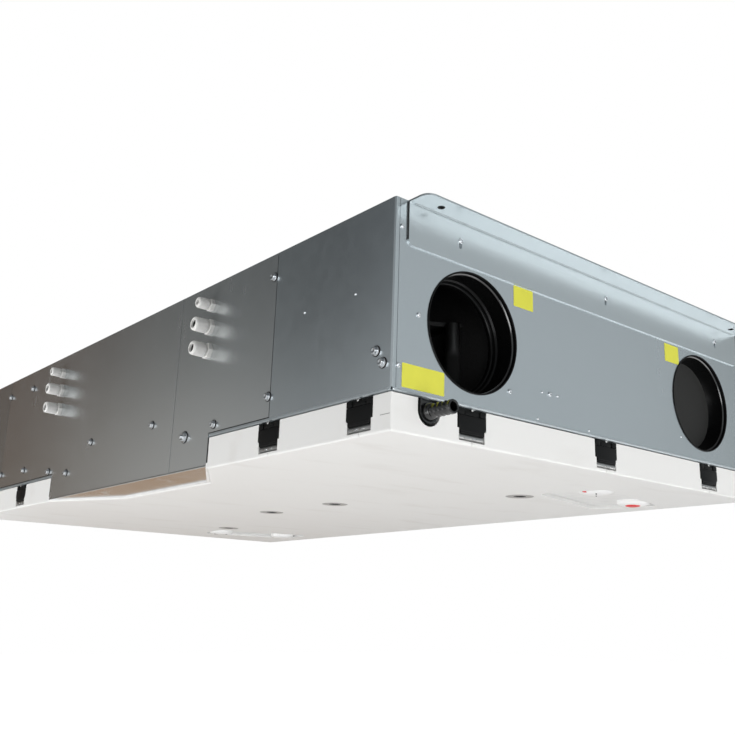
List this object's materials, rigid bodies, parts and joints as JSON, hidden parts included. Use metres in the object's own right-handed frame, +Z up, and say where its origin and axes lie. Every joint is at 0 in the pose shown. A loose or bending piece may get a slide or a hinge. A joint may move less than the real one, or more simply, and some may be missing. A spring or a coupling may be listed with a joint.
{
  "type": "ceiling air handling unit",
  "caption": "Flat galvanised ceiling air handling unit with round duct openings in its ends, hanger brackets, a control box, cable glands, a hose drain and a white latched lid below.",
  "frame": {"origin": "middle of the flat underside of the lid", "axes": "+X across the duct end away from the control box side, +Y from the drain end to the other end, +Z up"},
  "size_m": [0.8595, 1.576, 0.298],
  "materials": {
    "galvanised": "bare galvanised sheet",
    "duct_plastic": "moulded black",
    "foam": "moulded foam",
    "filter_media": "pleated media",
    "seal_rubber": "matt",
    "white_coat": "fine powder coat",
    "hatch_plastic": "satin moulded",
    "disc_plastic": "satin moulded",
    "latch_plastic": "satin moulded",
    "keeper_steel": "zinc plated",
    "drain_plastic": "satin moulded",
    "gland_plastic": "satin moulded"
  },
  "bodies": {
    "root": {"top_panel": "galvanised", "front_end_wall": "galvanised", "rear_end_wall": "galvanised", "left_side_wall": "galvanised", "right_side_wall": "galvanised", "gland_cover": "galvanised", "control_cover": "galvanised", "control_box": "galvanised", "front_ceiling_bracket": "galvanised", "rear_ceiling_bracket": "galvanised", "front_left_collar": "duct_plastic", "front_right_collar": "duct_plastic", "rear_left_collar": "duct_plastic", "rear_right_collar": "duct_plastic", "front_fan_housing": "duct_plastic", "rear_fan_housing": "duct_plastic", "foam_middle": "foam", "foam_front_left": "foam", "foam_front_center": "foam", "foam_front_right": "foam", "foam_rear_left": "foam", "foam_rear_center": "foam", "foam_rear_right": "foam", "front_filter": "filter_media", "rear_filter": "filter_media", "lid_seal": "seal_rubber", "lid": "white_coat", "front_filter_hatch": "hatch_plastic", "rear_filter_hatch": "hatch_plastic", "front_hatch_knobs": "hatch_plastic", "rear_hatch_knobs": "hatch_plastic", "lid_discs": "disc_plastic", "front_latches": "latch_plastic", "rear_latches": "latch_plastic", "left_latches": "latch_plastic", "right_latches": "latch_plastic", "front_latch_plates": "keeper_steel", "rear_latch_plates": "keeper_steel", "left_latch_plates": "keeper_steel", "right_latch_plates": "keeper_steel", "drain_elbow": "drain_plastic", "front_cable_glands": "gland_plastic", "rear_cable_glands": "gland_plastic"}
  },
  "joints": []
}
